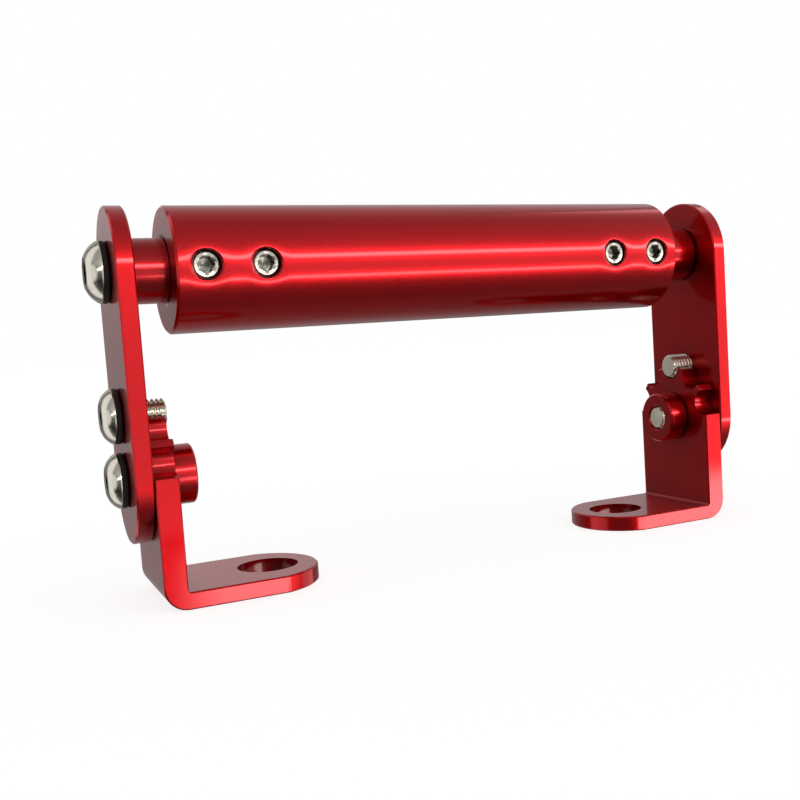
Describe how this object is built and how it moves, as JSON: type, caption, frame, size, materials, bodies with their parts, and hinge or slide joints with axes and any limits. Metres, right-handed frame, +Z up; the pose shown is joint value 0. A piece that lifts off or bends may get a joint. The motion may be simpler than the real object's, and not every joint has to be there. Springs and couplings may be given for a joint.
{
  "type": "phone handlebar mount",
  "caption": "Round crossbar carried by swinging side arms on indexed foot brackets, giving a phone holder a bar to clamp onto above a motorcycle handlebar.",
  "frame": {"origin": "under the middle of the whole width, on the plane both feet stand on", "axes": "+X along the crossbar, from the end with the shorter exposed shaft to the other; +Z up; the grub screws face -Y"},
  "size_m": [0.1314, 0.022, 0.0678],
  "materials": {
    "red_anodised": "red anodised, satin, fine machining lines",
    "stainless_steel": "bright stainless steel",
    "black_washer": "matt black nylon"
  },
  "bodies": {
    "crossbar": {"crossbar_tube": "red_anodised"},
    "left_slider": {"left_end_shaft": "red_anodised", "left_arm_bolt": "stainless_steel", "left_arm_bolt_washer": "black_washer"},
    "left_arm": {"left_side_arm": "red_anodised", "left_pivot_screw": "stainless_steel", "left_pivot_screw_washer": "black_washer", "left_pivot_nut": "red_anodised"},
    "left_lock": {"left_lock_screw": "stainless_steel", "left_lock_screw_washer": "black_washer"},
    "left_bracket": {"left_foot_bracket": "red_anodised"},
    "left_outer_grub": {"left_outer_grub_screw": "stainless_steel"},
    "left_inner_grub": {"left_inner_grub_screw": "stainless_steel"},
    "right_slider": {"right_end_shaft": "red_anodised", "right_arm_bolt": "stainless_steel", "right_arm_bolt_washer": "black_washer"},
    "right_arm": {"right_side_arm": "red_anodised", "right_pivot_screw": "stainless_steel", "right_pivot_screw_washer": "black_washer", "right_pivot_nut": "red_anodised"},
    "right_lock": {"right_lock_screw": "stainless_steel", "right_lock_screw_washer": "black_washer"},
    "right_bracket": {"right_foot_bracket": "red_anodised"},
    "right_outer_grub": {"right_outer_grub_screw": "stainless_steel"},
    "right_inner_grub": {"right_inner_grub_screw": "stainless_steel"}
  },
  "joints": [
    {"name": "left_shaft_slide", "type": "slide", "parent": "crossbar", "child": "left_slider", "axis": [-1, 0, 0], "range_m": [-0.0062, 0.0135]},
    {"name": "left_arm_swing", "type": "hinge", "parent": "left_slider", "child": "left_arm", "pos_m": [-0.05915, 0, 0.0568], "axis": [1, 0, 0], "continuous": true},
    {"name": "left_lock_screw_out", "type": "slide", "parent": "left_arm", "child": "left_lock", "axis": [-1, 0, 0], "range_m": [0, 0.005]},
    {"name": "left_bracket_tilt", "type": "hinge", "parent": "left_arm", "child": "left_bracket", "pos_m": [-0.0591, 0, 0.0215], "axis": [1, 0, 0], "range_deg": [-1.2, 1.2]},
    {"name": "left_outer_grub_out", "type": "slide", "parent": "crossbar", "child": "left_outer_grub", "axis": [0, -1, 0], "range_m": [0, 0.003]},
    {"name": "left_inner_grub_out", "type": "slide", "parent": "crossbar", "child": "left_inner_grub", "axis": [0, -1, 0], "range_m": [0, 0.003]},
    {"name": "right_shaft_slide", "type": "slide", "parent": "crossbar", "child": "right_slider", "axis": [1, 0, 0], "range_m": [-0.0095, 0.0102]},
    {"name": "right_arm_swing", "type": "hinge", "parent": "right_slider", "child": "right_arm", "pos_m": [0.05915, 0, 0.0568], "axis": [1, 0, 0], "continuous": true},
    {"name": "right_lock_screw_out", "type": "slide", "parent": "right_arm", "child": "right_lock", "axis": [1, 0, 0], "range_m": [0, 0.005]},
    {"name": "right_bracket_tilt", "type": "hinge", "parent": "right_arm", "child": "right_bracket", "pos_m": [0.0591, 0, 0.0215], "axis": [1, 0, 0], "range_deg": [-1.2, 1.2]},
    {"name": "right_outer_grub_out", "type": "slide", "parent": "crossbar", "child": "right_outer_grub", "axis": [0, -1, 0], "range_m": [0, 0.003]},
    {"name": "right_inner_grub_out", "type": "slide", "parent": "crossbar", "child": "right_inner_grub", "axis": [0, -1, 0], "range_m": [0, 0.003]}
  ]
}
